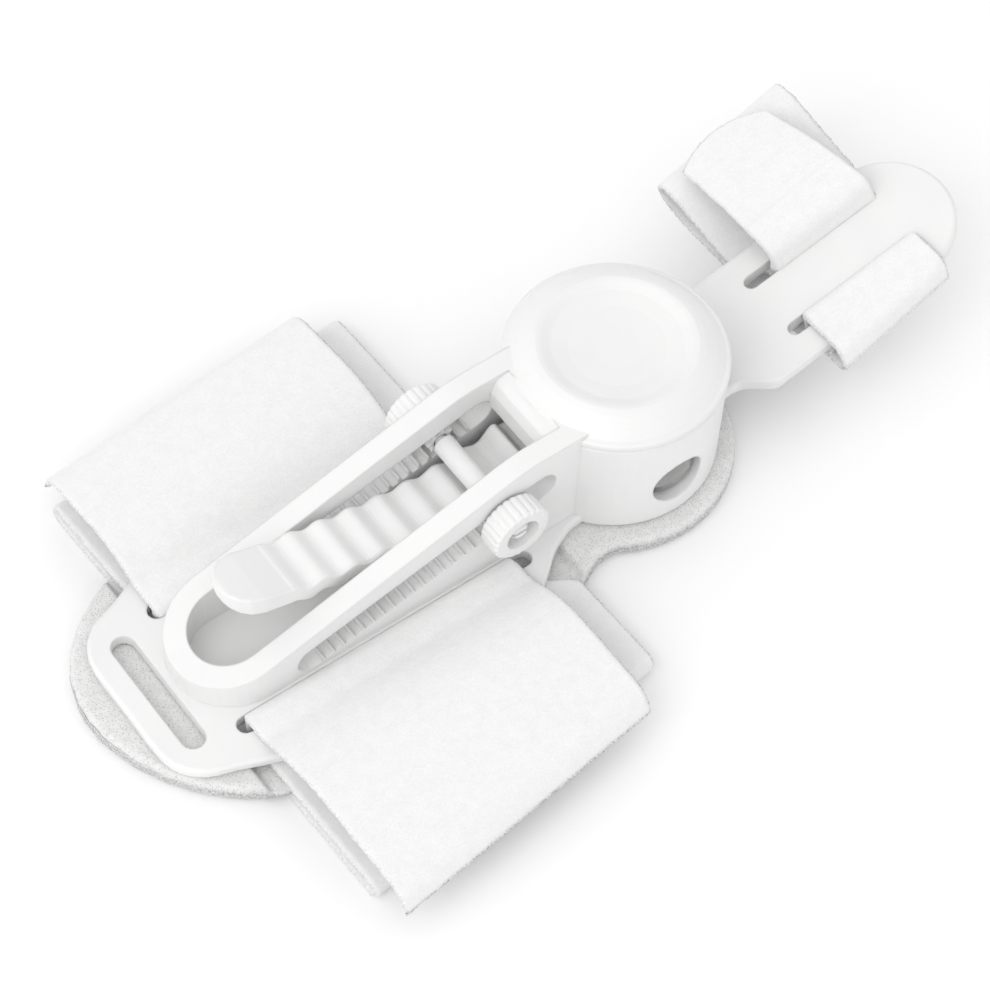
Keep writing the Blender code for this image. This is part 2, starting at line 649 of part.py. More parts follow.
def toe_outline():
    """Plan of the toe plate in the arm's frame: neck, shoulders and a round tip."""
    shoulder = []
    for i in range(9):
        along = SHOULDER_START + SHOULDER_LENGTH * i / 8
        shoulder.append((along, neck_half_width(along)))
    centre = (TOE_LENGTH - TOE_HALF_WIDTH, 0.0)
    tip = arc_points(centre, TOE_HALF_WIDTH, -pi / 2, pi / 2, 24)
    lower = [(NECK_START, -NECK_HALF_WIDTH)] + [(x, -y) for x, y in shoulder]
    upper = [(x, y) for x, y in reversed(shoulder)] + [(NECK_START, NECK_HALF_WIDTH)]
    return lower + tip + upper


def tilted(mesh_data):
    """Turns a bmesh from the arm's own frame into the world, at rest."""
    turn = Matrix.Translation(HINGE) @ Matrix.Rotation(-TOE_TILT, 4, "Y")
    mesh_data.transform(turn)
    return mesh_data


def build_toe_arm(plastic):
    """Toe plate, hinge boss and ribbed lever, moulded in one piece, with its origin on the hinge axis."""
    low = TOE_PLATE_TOP - TOE_PLATE_THICKNESS
    plate = tilted(chamfered_prism(toe_outline(), low, TOE_PLATE_TOP, 0.5 * MM))
    arm = add_object("toe_arm", plate, plastic, origin=HINGE)
    boss_half = CHANNEL_HALF_WIDTH - GAP
    boss = cross_cylinder(HINGE.x, HINGE.z, BOSS_RADIUS, -boss_half, boss_half, 28)
    combine(arm, "UNION", boss, "hinge_boss")
    web = [(0.2 * BOSS_RADIUS, -0.80 * BOSS_RADIUS), (NECK_START + 0.6 * MM, low + 0.55 * MM),
           (NECK_START + 4.5 * MM, low + 0.55 * MM), (NECK_START + 5.0 * MM, TOE_PLATE_TOP - 0.55 * MM),
           (0.80 * BOSS_RADIUS, 0.45 * BOSS_RADIUS)]
    combine(arm, "UNION", tilted(side_prism(web, boss_half - 0.5 * MM)), "web")
    combine(arm, "UNION", tilted(build_neck()), "neck")
    combine(arm, "UNION", build_lever(), "ribbed_lever")
    for side, label in ((1, "left"), (-1, "right")):
        inner = side * TOE_SLOT_INSET
        outer = side * (TOE_SLOT_INSET + TOE_SLOT_WIDTH)
        low_y, high_y = sorted((inner, outer))
        hole = long_slot(TOE_SLOT_START, TOE_SLOT_START + TOE_SLOT_LENGTH, low_y, high_y, 6)
        combine(arm, "DIFFERENCE", tilted(prism(hole, low - MM, TOE_PLATE_TOP + MM)), f"toe_slot_{label}")
    bore = cross_cylinder(HINGE.x, HINGE.z, PIN_RADIUS + GAP, -DRUM_RADIUS, DRUM_RADIUS, 24)
    combine(arm, "DIFFERENCE", bore, "arm_bore")
    return arm


def turned(profile, centre, sides):
    """Turned solid on an axis along Y through a centre, from (y, radius) rows."""
    rings = []
    for y, radius in profile:
        rings.append([(centre.x + x, y, centre.z + z) for x, z in circle(radius, sides)])
    return loft(rings)


def build_pin(steel):
    """Hinge pin with a domed head at each end, sunk in the drum's two recesses."""
    base = DRUM_RADIUS - PIN_RECESS_DEPTH + GAP
    head = PIN_RECESS_RADIUS - GAP
    half = [(base, PIN_RADIUS), (base, head - PIN_HEAD_ROUNDING), (base + PIN_HEAD_ROUNDING, head),
            (base + PIN_HEAD_EDGE, head)]
    for degrees in (25, 50, 75):
        angle = radians(degrees)
        half.append((base + PIN_HEAD_EDGE + PIN_HEAD_RISE * sin(angle), head * cos(angle)))
    profile = [(-y, radius) for y, radius in reversed(half)] + half
    return add_object("hinge_pin", turned(profile, HINGE, 24), steel, origin=HINGE)


def build_slider_bar(plastic):
    """Bar between the walls, with an axle on each side that ends in a split snap head."""
    shoulder = CHANNEL_HALF_WIDTH - GAP
    face = WALL_OUTER + GAP + WHEEL_WIDTH - HUB_RECESS_DEPTH
    neck = face + GAP
    head = neck + HUB_RECESS_DEPTH - 3 * GAP
    half = [(head, 0.7 * SNAP_RADIUS), (head - 0.5 * MM, 0.95 * SNAP_RADIUS), (neck + 0.4 * MM, SNAP_RADIUS),
            (neck, 0.95 * SNAP_RADIUS), (neck, AXLE_RADIUS), (shoulder, AXLE_RADIUS),
            (shoulder, BAR_RADIUS - 0.35 * MM), (shoulder - 0.35 * MM, BAR_RADIUS)]
    profile = [(-y, radius) for y, radius in half] + list(reversed(half))
    bar = add_object("slider_bar", turned(profile, SLIDER, 24), plastic, origin=SLIDER)
    for side, label in ((1, "left"), (-1, "right")):
        low = min(side * neck, side * (head + MM))
        high = max(side * neck, side * (head + MM))
        split = [(SLIDER.x - 2 * SNAP_RADIUS, low), (SLIDER.x + 2 * SNAP_RADIUS, low),
                 (SLIDER.x + 2 * SNAP_RADIUS, high), (SLIDER.x - 2 * SNAP_RADIUS, high)]
        cutter = prism(split, SLIDER.z - SNAP_SPLIT / 2, SLIDER.z + SNAP_SPLIT / 2)
        combine(bar, "DIFFERENCE", cutter, f"split_{label}")
    return bar


def pinion_outline():
    """Teeth of the pinion in the XZ plane, with one tooth pointing straight down on the slot's rack."""
    outline = []
    root = PITCH_RADIUS - TOOTH_ADDENDUM - 0.18 * MM
    tip = PITCH_RADIUS + TOOTH_ADDENDUM - 0.04 * MM
    half_root = 0.27 * RACK_PITCH / root
    half_tip = 0.08 * RACK_PITCH / tip
    for i in range(PINION_TEETH):
        middle = -pi / 2 + SLOT_ANGLE + 2 * pi * i / PINION_TEETH
        for angle, radius in ((-half_root, root), (-half_tip, tip), (half_tip, tip), (half_root, root)):
            outline.append((SLIDER.x + radius * cos(middle + angle), SLIDER.z + radius * sin(middle + angle)))
    return outline


def build_thumbwheel(side, label, plastic):
    """Ribbed wheel outside the wall, with a pinion that reaches into the toothed slot."""
    inner = side * (WALL_OUTER + GAP)
    outer = side * (WALL_OUTER + GAP + WHEEL_WIDTH)
    chamfer = side * 0.5 * MM
    per_rib = 3
    count = WHEEL_RIBS * per_rib
    rings = []
    for y, depth in ((inner, 0.5), (inner + chamfer, 0.0), (outer - chamfer, 0.0), (outer, 0.5)):
        ring = []
        for i in range(count):
            rib = WHEEL_RIB_HEIGHT * 0.5 * (1 - cos(2 * pi * i / per_rib)) if i % per_rib else 0.0
            radius = WHEEL_RADIUS - WHEEL_RIB_HEIGHT + rib - depth * MM
            angle = 2 * pi * i / count
            ring.append((SLIDER.x + radius * cos(angle), y, SLIDER.z + radius * sin(angle)))
        rings.append(ring)
    wheel = add_object(f"thumbwheel_{label}", loft(rings), plastic, origin=SLIDER)
    teeth = pinion_outline()
    start = side * (CHANNEL_HALF_WIDTH + GAP)
    pinion = loft([[(x, y, z) for x, z in teeth] for y in (start, inner + 2 * chamfer)])
    combine(wheel, "UNION", pinion, f"pinion_{label}")
    bore = cross_cylinder(SLIDER.x, SLIDER.z, PINION_BORE, 0.0, side * CUTTER_REACH, 20)
    combine(wheel, "DIFFERENCE", bore, f"wheel_bore_{label}")
    floor = outer - side * HUB_RECESS_DEPTH
    recess = cross_cylinder(SLIDER.x, SLIDER.z, HUB_RECESS_RADIUS, floor, side * CUTTER_REACH, 28)
    combine(wheel, "DIFFERENCE", recess, f"hub_recess_{label}")
    return wheel


def build_pad(foam):
    """Foam pad under the plate, pressed thin where the foot strap passes above and below it."""
    body = smooth_half(PAD_EDGE, PAD_REACH, PAD_HALF_WIDTH)
    start = acos(body[-1][0] / PAD_LOBE_RADIUS)
    lobe = arc_points((0.0, 0.0), PAD_LOBE_RADIUS, start, 0.0, 18)
    outline = []
    for x, y in mirrored_outline(body + lobe[1:]):
        share = max(0.0, (-x - 0.77 * PAD_REACH) / (0.23 * PAD_REACH))
        outline.append((x, y + PAD_TIP_SHIFT * share * share))
    top = PLATE_LEVEL - GAP
    pad = add_object("foam_pad", chamfered_prism(outline, 0.0, top, 0.8 * MM), foam)
    skew = PAD_HALF_WIDTH * tan(BAND_SKEW) + 1.0 * MM
    low_x = -BAND_START - skew - 0.5 * MM
    high_x = -BAND_START + BAND_WIDTH + skew + 0.5 * MM
    reach = 2 * PAD_HALF_WIDTH
    under = [(low_x, -reach), (high_x, -reach), (high_x, reach), (low_x, reach)]
    pressed_low = STRAP_THICKNESS + GAP
    combine(pad, "DIFFERENCE", prism(under, -MM, pressed_low), "strap_under")
    inner = SIDE_SLOT_INNER + 0.2 * MM
    for side, label in ((1, "left"), (-1, "right")):
        near, far = sorted((side * inner, side * reach))
        over = [(low_x, near), (high_x, near), (high_x, far), (low_x, far)]
        cutter = prism(over, pressed_low + PRESSED_FOAM, PLATE_LEVEL + MM)
        combine(pad, "DIFFERENCE", cutter, f"strap_over_{label}")
    return pad


def foot_strap_path():
    """Middle line of the foot strap in the YZ plane, from the left top end to the right top end."""
    under = STRAP_THICKNESS / 2
    return_level = PLATE_LEVEL - GAP - STRAP_THICKNESS / 2
    on_rail = PLATE_LEVEL + PLATE_THICKNESS + GAP + STRAP_THICKNESS / 2
    middle = (SIDE_SLOT_INNER + SIDE_SLOT_OUTER) / 2
    fold = (return_level - under) / 2
    crest = PLATE_LEVEL + TOP_CREST - STRAP_THICKNESS / 2
    wheel_edge = WALL_OUTER + GAP + WHEEL_WIDTH
    corner = 1.0 * MM

    def side(reach, overhang):
        end = reach + overhang
        return [
            (end, crest - TOP_EDGE_DROP, 0.0), (end - TOP_EDGE_RUN, crest - TOP_EDGE_RUN, TOP_EDGE_BEND),
            (TOP_CREST_REACH, crest, TOP_CREST_BEND), (wheel_edge + TOP_FOOT_RUN, on_rail, TOP_FOOT_BEND),
            (middle, on_rail, corner), (middle, return_level, corner),
            (reach - fold, return_level, 0.97 * fold), (reach - fold + 0.01 * MM, under, 0.97 * fold),
        ]

    left = side(LEFT_FOLD, LEFT_OVERHANG)
    right = side(RIGHT_FOLD, RIGHT_OVERHANG)
    corners = left + [(-y, z, radius) for y, z, radius in reversed(right)]
    return rounded_path(corners)


def run_lengths(path):
    """Length along the path at each of its points."""
    lengths = [0.0]
    for before, after in zip(path, path[1:]):
        lengths.append(lengths[-1] + (after - before).length)
    return lengths


def slot_crossings(path, level, inner, outer):
    """Last points before the path crosses a level between two distances from the middle."""
    found = []
    for i in range(len(path) - 1):
        crosses = (path[i].y - level) * (path[i + 1].y - level) < 0
        if crosses and inner < abs(path[i].x) < outer:
            found.append(i)
    return found


def build_foot_strap(cloth):
    """Wide strap in one run, from its left top end through both slots and under the pad to the right."""
    path = foot_strap_path()
    lengths = run_lengths(path)
    slot_level = PLATE_LEVEL + PLATE_THICKNESS / 2
    into_left, out_of_right = slot_crossings(path, slot_level, SIDE_SLOT_INNER, SIDE_SLOT_OUTER)
    centre = -BAND_START + BAND_WIDTH / 2
    widen = 8.0 * MM
    slant_start = SIDE_SLOT_OUTER + 4.0 * MM
    slant_run = 1.5 * SIDE_SLOT_OUTER

    def place(i, point, across):
        inside = min(lengths[i] - lengths[into_left + 1], lengths[out_of_right] - lengths[i])
        share = max(0.0, min(1.0, inside / widen))
        band = -BAND_START + BAND_WIDTH * across
        narrow = -TOP_START + TOP_WIDTH * across
        x = narrow + (band - narrow) * share - point.x * tan(BAND_SKEW)
        slant = LEFT_FOLD_SLANT if point.x > 0 else RIGHT_FOLD_SLANT
        beyond = max(0.0, min(1.0, (abs(point.x) - slant_start) / slant_run))
        return x, (x - centre) * tan(slant) * beyond

    return add_object("foot_strap", ribbon(path, STRAP_THICKNESS, place, 3), cloth)


def toe_strap_path():
    """Middle line of the toe strap in the arm's frame, from its end under the right rail to its top end."""
    top = TOE_PLATE_TOP + GAP + STRAP_THICKNESS / 2
    below = TOE_PLATE_TOP - TOE_PLATE_THICKNESS - GAP - STRAP_THICKNESS / 2
    slot = TOE_SLOT_INSET + TOE_SLOT_WIDTH / 2
    corner = 0.85 * MM
    under_end = below - STRAP_THICKNESS - 2 * GAP
    deep = -TOE_LOOP_DEPTH
    loop = TOE_LOOP_REACH
    return rounded_path([
        (-TOE_HALF_WIDTH + 0.6 * MM, below, 0.0), (-slot, below, corner), (-slot, top, corner),
        (-TOE_RIGHT_REACH + 1.4 * MM, top, 2.2 * MM), (-TOE_RIGHT_REACH, under_end, 1.6 * MM),
        (-0.5 * TOE_HALF_WIDTH, under_end - GAP, 8.0 * MM), (0.35 * loop, deep, TOE_LOOP_BEND),
        (0.84 * loop, 0.90 * deep, 10.0 * MM), (loop, -TOE_LOOP_RISE, 1.9 * MM),
        (0.80 * loop, -0.90 * TOE_LOOP_RISE, 5.0 * MM),
        (0.44 * loop, below, 9.0 * MM), (slot, below, corner),
        (slot, TOE_PLATE_TOP + TOE_TOP_HEIGHT - 1.0 * MM, 2.4 * MM),
        (0.62 * TOE_TOP_REACH, TOE_PLATE_TOP + TOE_TOP_HEIGHT, 20.0 * MM),
        (TOE_TOP_REACH, TOE_PLATE_TOP + 0.72 * TOE_TOP_HEIGHT, 0.0),
    ])


def build_toe_strap(cloth):
    """Toe strap in one run, riding on the toe plate."""
    path = toe_strap_path()
    lengths = run_lengths(path)
    slot_level = TOE_PLATE_TOP - TOE_PLATE_THICKNESS / 2
    up_right, up_left = slot_crossings(path, slot_level, TOE_SLOT_INSET, TOE_SLOT_INSET + TOE_SLOT_WIDTH)
    centre = TOE_BAND_START + TOE_BAND_WIDTH / 2
    widen = 9.0 * MM
    wrap = 2 * widen
    top_run = lengths[-1] - lengths[up_left + 1]

    def place(i, point, across):
        inside = min(lengths[i] - lengths[up_right] - wrap, lengths[up_left] - lengths[i])
        share = max(0.0, min(1.0, inside / widen))
        band = TOE_BAND_START + TOE_BAND_WIDTH * across
        up = max(0.0, (lengths[i] - lengths[up_left + 1]) / top_run)
        narrow = TOE_TOP_START + (TOE_TOP_WIDTH - TOE_TOP_TAPER * up) * across
        if point.x < 0:
            narrow = TOE_RIGHT_START + TOE_RIGHT_WIDTH * across
        x = narrow + (band - narrow) * share - point.x * tan(BAND_SKEW)
        beyond = max(0.0, min(1.0, (abs(point.x) - TOE_SLOT_INSET - TOE_SLOT_WIDTH) / TOE_SLOT_INSET))
        slant = (x - centre) * tan(TOE_FOLD_SLANT) * beyond
        bow = TOE_TOP_BOW * up * up * (1 - (2 * across - 1) ** 2)
        return x, slant * (1 - up) + bow

    return add_object("toe_strap", tilted(ribbon(path, STRAP_THICKNESS, place, 7)), cloth, origin=HINGE)


def main():
    clear_scene()
    plastic = plain_material("white_plastic", (0.86, 0.86, 0.85), 0.38)
    wheel_plastic = plain_material("wheel_plastic", (0.88, 0.88, 0.87), 0.42)
    steel = plain_material("steel", (0.56, 0.56, 0.57), 0.28, 1.0)
    foam = plain_material("foam", (0.70, 0.70, 0.69), 0.95)
    cloth = plain_material("brushed_cloth", (0.88, 0.88, 0.87), 0.95)
    build_frame(plastic)
    build_toe_arm(plastic)
    build_pin(steel)
    build_slider_bar(wheel_plastic)
    for side, label in ((1, "left"), (-1, "right")):
        build_thumbwheel(side, label, wheel_plastic)
    build_pad(foam)
    build_foot_strap(cloth)
    build_toe_strap(cloth)


main()
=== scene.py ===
from math import acos, ceil, cos, pi, radians, sin, sqrt, tan

import bmesh
import bpy
import numpy as np
from mathutils import Matrix, Vector, noise


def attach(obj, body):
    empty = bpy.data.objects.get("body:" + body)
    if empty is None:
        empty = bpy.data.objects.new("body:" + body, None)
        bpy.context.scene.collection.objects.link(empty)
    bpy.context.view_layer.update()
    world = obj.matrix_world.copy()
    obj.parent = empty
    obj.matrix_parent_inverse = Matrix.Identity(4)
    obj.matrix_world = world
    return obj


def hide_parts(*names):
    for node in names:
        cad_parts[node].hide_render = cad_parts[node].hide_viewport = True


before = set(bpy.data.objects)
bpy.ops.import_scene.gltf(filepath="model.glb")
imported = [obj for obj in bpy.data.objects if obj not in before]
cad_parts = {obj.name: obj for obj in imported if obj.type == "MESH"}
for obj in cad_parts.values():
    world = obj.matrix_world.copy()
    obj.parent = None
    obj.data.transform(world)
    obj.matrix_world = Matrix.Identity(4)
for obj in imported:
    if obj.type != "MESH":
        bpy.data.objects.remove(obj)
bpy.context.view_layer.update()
print("frame loaded", flush=True)

mm = 0.001
gap = 0.3 * mm
plateLevel = 4.3 * mm
hinge = Vector((0.0, 0.0, plateLevel + 9.3 * mm))
toeTilt = radians(13.5)


# Camera: same place and lens as the photograph's.
camera = {
    "place": (-0.2232, -0.2399, 0.4669),
    "elevation": radians(55.927),
    "azimuth": radians(39.650),
    "roll": radians(3.969),
    "focal": 3240.7,
    "pictureSide": 990.0,
    "sensor": 36.0,
}

forward = Vector((
    cos(camera["elevation"]) * sin(camera["azimuth"]),
    cos(camera["elevation"]) * cos(camera["azimuth"]),
    -sin(camera["elevation"]),
))
levelRight = forward.cross(Vector((0, 0, 1))).normalized()
levelUp = levelRight.cross(forward)
right = levelRight * cos(camera["roll"]) + levelUp * sin(camera["roll"])
up = right.cross(forward)
lens = bpy.data.cameras.new("camera")
lens.sensor_width = camera["sensor"]
lens.lens = camera["focal"] / camera["pictureSide"] * camera["sensor"]
lens.clip_start = 0.01
lens.clip_end = 5.0
eye = bpy.data.objects.new("camera", lens)
turn = Matrix((right, up, -forward)).transposed().to_4x4()
eye.matrix_world = Matrix.Translation(camera["place"]) @ turn
bpy.context.scene.collection.objects.link(eye)
bpy.context.scene.camera = eye


def shaderNodes(name):
    material = bpy.data.materials.new(name)
    material.use_nodes = True
    tree = material.node_tree
    return material, tree, tree.nodes["Principled BSDF"]


def addNode(tree, kind, **values):
    node = tree.nodes.new(kind)
    for key, value in values.items():
        if key in node.inputs:
            node.inputs[key].default_value = value
        else:
            setattr(node, key, value)
    return node


def noiseNode(tree, scale, detail=3.0, roughness=0.5):
    place = addNode(tree, "ShaderNodeTexCoord")
    texture = addNode(tree, "ShaderNodeTexNoise", Scale=scale, Detail=detail, Roughness=roughness)
    tree.links.new(place.outputs["Object"], texture.inputs["Vector"])
    return texture.outputs["Fac"]


def grey(value):
    return (value, value, value)


def ramp(tree, source, stops):
    node = addNode(tree, "ShaderNodeValToRGB")
    node.color_ramp.elements[0].position = stops[0][0]
    node.color_ramp.elements[0].color = (*stops[0][1], 1)
    node.color_ramp.elements[1].position = stops[-1][0]
    node.color_ramp.elements[1].color = (*stops[-1][1], 1)
    for position, colour in stops[1:-1]:
        node.color_ramp.elements.new(position).color = (*colour, 1)
    tree.links.new(source, node.inputs["Fac"])
    return node.outputs["Color"]


def spread(tree, source, low, high):
    node = addNode(tree, "ShaderNodeMapRange")
    node.inputs["To Min"].default_value = low
    node.inputs["To Max"].default_value = high
    tree.links.new(source, node.inputs["Value"])
    return node.outputs["Result"]


def mouldedPlastic(name, tone, roughness, edge):
    material, tree, shader = shaderNodes(name)
    mottle = noiseNode(tree, 90.0, 4.0, 0.6)
    low = tuple(tone * c * 0.975 for c in (1.0, 1.0, 0.997))
    high = tuple(tone * c for c in (1.0, 1.0, 0.993))
    tree.links.new(ramp(tree, mottle, ((0.35, low), (0.65, high))), shader.inputs["Base Color"])
    gloss = spread(tree, noiseNode(tree, 260.0, 5.0, 0.6), roughness - 0.05, roughness + 0.07)
    tree.links.new(gloss, shader.inputs["Roughness"])
    rounded = addNode(tree, "ShaderNodeBevel", Radius=edge, samples=6)
    grain = addNode(tree, "ShaderNodeBump", Strength=0.10, Distance=0.00006)
    tree.links.new(noiseNode(tree, 2600.0, 2.0, 0.6), grain.inputs["Height"])
    tree.links.new(rounded.outputs["Normal"], grain.inputs["Normal"])
    tree.links.new(grain.outputs["Normal"], shader.inputs["Normal"])
    shader.inputs["IOR"].default_value = 1.5
    shader.inputs["Subsurface Weight"].default_value = 0.12
    shader.inputs["Subsurface Radius"].default_value = (0.002, 0.0019, 0.0017)
    return material


def drawnSteel(name):
    material, tree, shader = shaderNodes(name)
    place = addNode(tree, "ShaderNodeTexCoord")
    stretch = addNode(tree, "ShaderNodeMapping")
    stretch.inputs["Scale"].default_value = (1.0, 0.05, 1.0)
    texture = addNode(tree, "ShaderNodeTexNoise", Scale=160.0, Detail=2.0)
    tree.links.new(place.outputs["Object"], stretch.inputs["Vector"])
    tree.links.new(stretch.outputs["Vector"], texture.inputs["Vector"])
    tone = ramp(tree, texture.outputs["Fac"], ((0.3, grey(0.26)), (0.7, (0.34, 0.34, 0.335))))
    tree.links.new(tone, shader.inputs["Base Color"])
    tree.links.new(spread(tree, texture.outputs["Fac"], 0.13, 0.18), shader.inputs["Roughness"])
    shader.inputs["Metallic"].default_value = 1.0
    return material


# The attribute says how dark each point is: partly real fray at the cut ends and edges, partly painted shade
# along the far edges and at the folds; fine noise breaks that into specks.
def frayedShadedColour(tree, shader, whole, frayShadeTone):
    frayAndShade = addNode(tree, "ShaderNodeAttribute", attribute_name="frayAndShade")
    speckle = addNode(tree, "ShaderNodeMath", operation="MULTIPLY", use_clamp=True)
    tree.links.new(frayAndShade.outputs["Fac"], speckle.inputs[0])
    specks = ramp(tree, noiseNode(tree, 2600.0, 4.0, 0.7), ((0.42, grey(0.15)), (0.62, grey(1.0))))
    tree.links.new(specks, speckle.inputs[1])
    # Mixes the real fray and the painted edge and fold shade into the base colour.
    frayShadeMix = addNode(tree, "ShaderNodeMix", data_type="RGBA")
    tree.links.new(speckle.outputs["Value"], frayShadeMix.inputs["Factor"])
    tree.links.new(whole, frayShadeMix.inputs["A"])
    frayShadeMix.inputs["B"].default_value = (*frayShadeTone, 1)
    tree.links.new(frayShadeMix.outputs["Result"], shader.inputs["Base Color"])


def brushedCloth(name):
    material, tree, shader = shaderNodes(name)
    nap = noiseNode(tree, 3000.0, 6.0, 0.78)
    patches = noiseNode(tree, 420.0, 6.0, 0.7)
    blend = addNode(tree, "ShaderNodeMix", data_type="RGBA", blend_type="MULTIPLY")
    blend.inputs["Factor"].default_value = 1.0
    tree.links.new(ramp(tree, nap, ((0.30, grey(0.755)), (0.64, (0.855, 0.855, 0.85)))), blend.inputs["A"])
    tree.links.new(ramp(tree, patches, ((0.35, grey(0.96)), (0.65, grey(1.0)))), blend.inputs["B"])
    frayedShadedColour(tree, shader, blend.outputs["Result"], grey(0.12))
    loops = addNode(tree, "ShaderNodeBump", Strength=0.42, Distance=0.00015)
    tree.links.new(nap, loops.inputs["Height"])
    tree.links.new(loops.outputs["Normal"], shader.inputs["Normal"])
    shader.inputs["Roughness"].default_value = 0.95
    shader.inputs["Sheen Weight"].default_value = 0.35
    shader.inputs["Sheen Roughness"].default_value = 0.5
    shader.inputs["Specular IOR Level"].default_value = 0.2
    return material


def knitFoam(name):
    material, tree, shader = shaderNodes(name)
    place = addNode(tree, "ShaderNodeTexCoord")
    pores = addNode(tree, "ShaderNodeTexVoronoi", Scale=2600.0, Randomness=0.8)
    tree.links.new(place.outputs["Object"], pores.inputs["Vector"])
    fine = noiseNode(tree, 900.0, 4.0, 0.7)
    poreTones = ((0.0, (0.20, 0.20, 0.205)), (0.14, grey(0.44)), (0.30, (0.74, 0.74, 0.735)))
    tint = ramp(tree, pores.outputs["Distance"], poreTones)
    blend = addNode(tree, "ShaderNodeMix", data_type="RGBA", blend_type="MULTIPLY")
    blend.inputs["Factor"].default_value = 1.0
    tree.links.new(tint, blend.inputs["A"])
    tree.links.new(ramp(tree, fine, ((0.33, grey(0.90)), (0.60, grey(1.0)))), blend.inputs["B"])
    frayedShadedColour(tree, shader, blend.outputs["Result"], (0.20, 0.20, 0.205))
    relief = addNode(tree, "ShaderNodeBump", Strength=0.5, Distance=0.00015)
    tree.links.new(pores.outputs["Distance"], relief.inputs["Height"])
    tree.links.new(relief.outputs["Normal"], shader.inputs["Normal"])
    shader.inputs["Roughness"].default_value = 0.95
    shader.inputs["Specular IOR Level"].default_value = 0.25
    return material


whitePlastic = mouldedPlastic("whitePlastic", 0.79, 0.36, 0.00055)
wheelPlastic = mouldedPlastic("wheelPlastic", 0.80, 0.42, 0.0002)
pinSteel = drawnSteel("pinSteel")
strapCloth = brushedCloth("strapCloth")
padFoam = knitFoam("padFoam")

finishes = {
    "base_frame": whitePlastic,
    "toe_arm": whitePlastic,
    "slider_bar": wheelPlastic,
    "thumbwheel_left": wheelPlastic,
    "thumbwheel_right": wheelPlastic,
    "hinge_pin": pinSteel,
}
for nodeName, finish in finishes.items():
    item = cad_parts[nodeName]
    item.data.materials.clear()
    item.data.materials.append(finish)
print("plastic and steel done", flush=True)


def roundedPath(corners, step=radians(6)):
    points = [Vector(corners[0][:2])]
    for i in range(1, len(corners) - 1):
        here = Vector(corners[i][:2])
        inward = (Vector(corners[i - 1][:2]) - here).normalized()
        outward = (Vector(corners[i + 1][:2]) - here).normalized()
        bend = pi - acos(max(-1.0, min(1.0, inward.dot(outward))))
        start = here + inward * corners[i][2] * tan(bend / 2)
        centre = here + (inward + outward).normalized() * (corners[i][2] / cos(bend / 2))
        side = 1.0 if inward.cross(outward) < 0 else -1.0
        steps = max(1, ceil(bend / step))
        for k in range(steps + 1):
            points.append(centre + Matrix.Rotation(side * bend * k / steps, 2) @ (start - centre))
    points.append(Vector(corners[-1][:2]))
    return points


def runLengths(path):
    lengths = [0.0]
    for before, after in zip(path, path[1:]):
        lengths.append(lengths[-1] + (after - before).length)
    return lengths


def evenPath(path, step):
    lengths = runLengths(path)
    count = int(lengths[-1] / step)
    even = []
    k = 0
    for i in range(count + 1):
        want = lengths[-1] * i / count
        while k < len(path) - 2 and lengths[k + 1] < want:
            k += 1
        share = (want - lengths[k]) / max(lengths[k + 1] - lengths[k], 1e-9)
        even.append(path[k].lerp(path[k + 1], max(0.0, min(1.0, share))))
    return even


def slotCrossings(path, level, inner, outer):
    found = []
    for i in range(len(path) - 1):
        crosses = (path[i].y - level) * (path[i + 1].y - level) < 0
        if crosses and inner < abs(path[i].x) < outer:
            found.append(i)
    return found


def smoothStep(value):
    value = max(0.0, min(1.0, value))
    return value * value * (3 - 2 * value)


def grainAt(x, y, z):
    return noise.noise(Vector((x, y, z)))


def bulge(share, thinness):
    return thinness + (1 - thinness) * sqrt(max(0.0, 1 - (1 - share) ** 2))


# Nap, frayed edges and painted edge and fold shade of the cloth: scales are per metre, heights in metres.
clothSurface = {
    "fineScale": 900,
    "fineHeight": 0.045 * mm,
    "broadScale": 260,
    "broadHeight": 0.05 * mm,
    "foldFuzzHeight": 3.0,
    "edgeThinness": 0.3,
    "endThinness": 0.25,
    "endWear": 0.8,
    "edgeFrayShade": 0.9,
    "ragged": 0.16 * mm,
}


